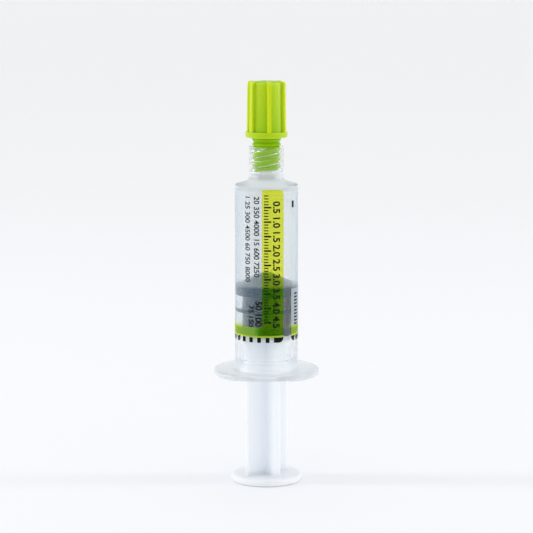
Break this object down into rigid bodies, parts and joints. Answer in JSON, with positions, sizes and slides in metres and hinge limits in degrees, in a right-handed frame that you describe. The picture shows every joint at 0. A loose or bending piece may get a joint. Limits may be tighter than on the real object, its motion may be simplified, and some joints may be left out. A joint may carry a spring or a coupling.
{
  "type": "prefilled syringe",
  "caption": "Capped prefilled syringe: clear barrel with lock collar and finger flange, ribbed green tip cap, dark rubber stopper, crossed-fin plunger and printed film label.",
  "frame": {"origin": "centre of the underside of the thumb rest, on which the syringe stands", "axes": "+Z along the barrel towards the tip, -Y is the front with the coloured print, +X along the finger flange"},
  "size_m": [0.0269, 0.0228, 0.1027],
  "materials": {
    "clear_plastic": "clear polypropylene",
    "white_plastic": "milky translucent polypropylene",
    "grey_rubber": "smooth grey rubber",
    "clear_liquid": "clear water-like liquid",
    "green_plastic": "lime green moulded plastic",
    "label_film": "clear printed film"
  },
  "bodies": {
    "barrel": {"barrel": "clear_plastic", "label": "label_film", "solution": "clear_liquid"},
    "stopper": {"stopper": "grey_rubber"},
    "plunger_rod": {"plunger_rod": "white_plastic"},
    "tip_cap": {"tip_cap": "green_plastic"}
  },
  "joints": [
    {"name": "plunger_slide", "type": "slide", "parent": "barrel", "child": "stopper", "axis": [0, 0, 1], "range_m": [-0.006, 0.0242], "deforming": ["solution"]},
    {"name": "rod_swivel", "type": "hinge", "parent": "stopper", "child": "plunger_rod", "pos_m": [0, 0, 0.0411], "axis": [0, 0, 1], "continuous": true},
    {"name": "cap_lift", "type": "slide", "parent": "barrel", "child": "tip_cap", "axis": [0, 0, 1], "range_m": [0, 0.012]}
  ]
}
